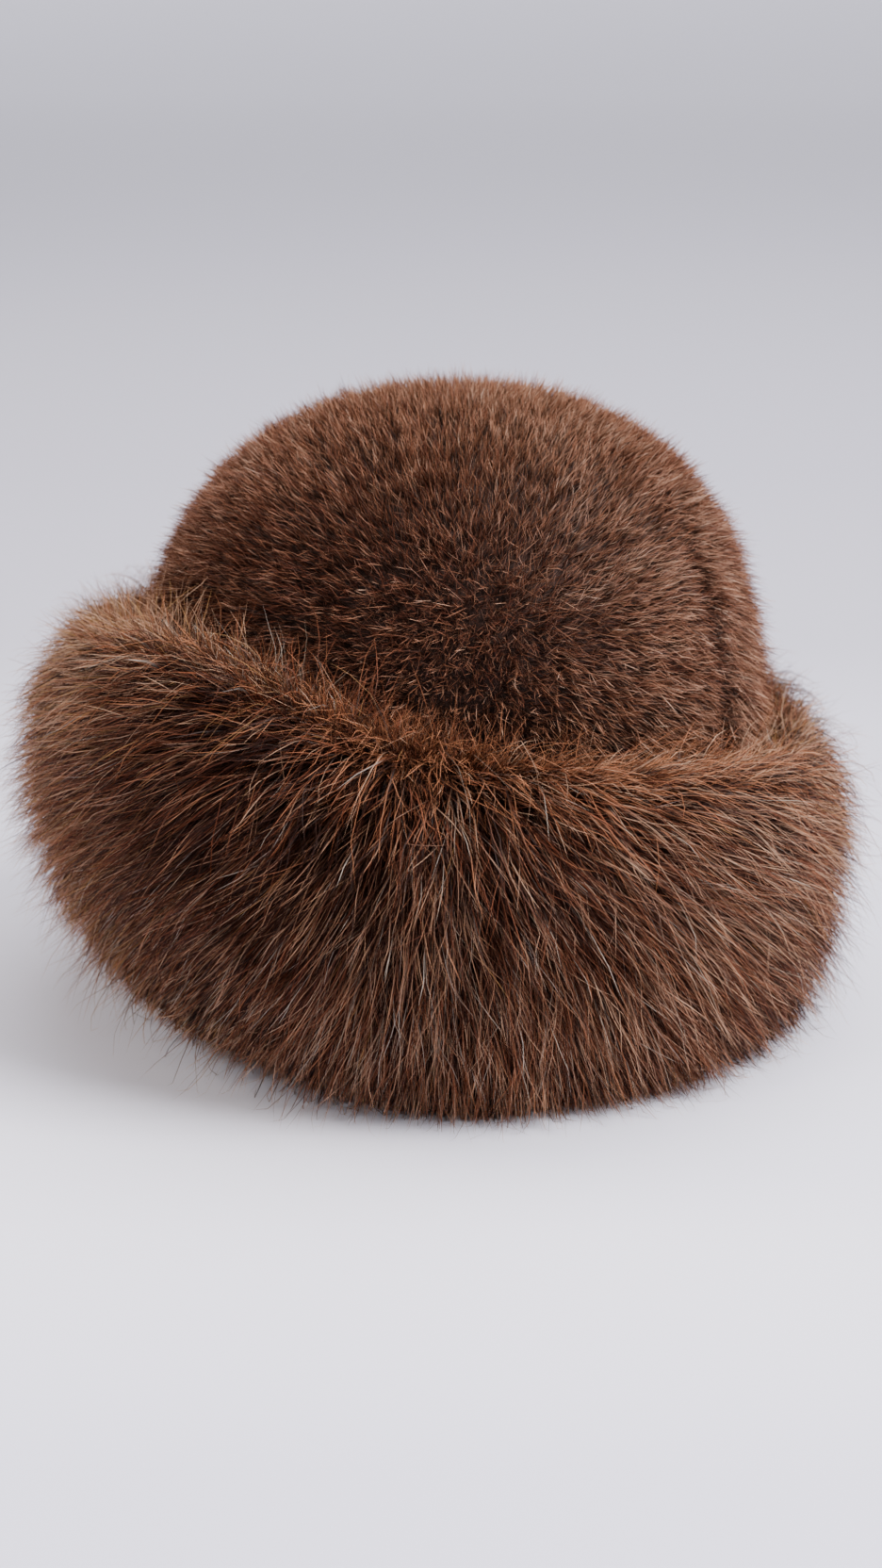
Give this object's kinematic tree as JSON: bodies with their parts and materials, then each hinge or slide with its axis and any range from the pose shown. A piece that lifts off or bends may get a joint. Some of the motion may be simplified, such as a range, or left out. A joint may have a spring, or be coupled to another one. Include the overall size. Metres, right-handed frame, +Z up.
{
  "type": "cossack hat",
  "caption": "Tall rounded fur hat with a short-pile domed crown and a deep, uneven cuff of long brown fur turned up round it.",
  "frame": {"origin": "middle of the box's bottom, on the surface that the hat stands on", "axes": "+Z up through the crown, -Y towards the front, +X to the right as seen from the front"},
  "size_m": [0.2692, 0.2944, 0.199],
  "materials": {
    "short_fur": "short dense brown fur, upright pile about 10 mm long",
    "long_fur": "long warm brown fur, combed out and down, with darker roots and paler tips"
  },
  "bodies": {
    "root": {"crown": "short_fur", "fur_cuff": "long_fur"}
  },
  "joints": []
}
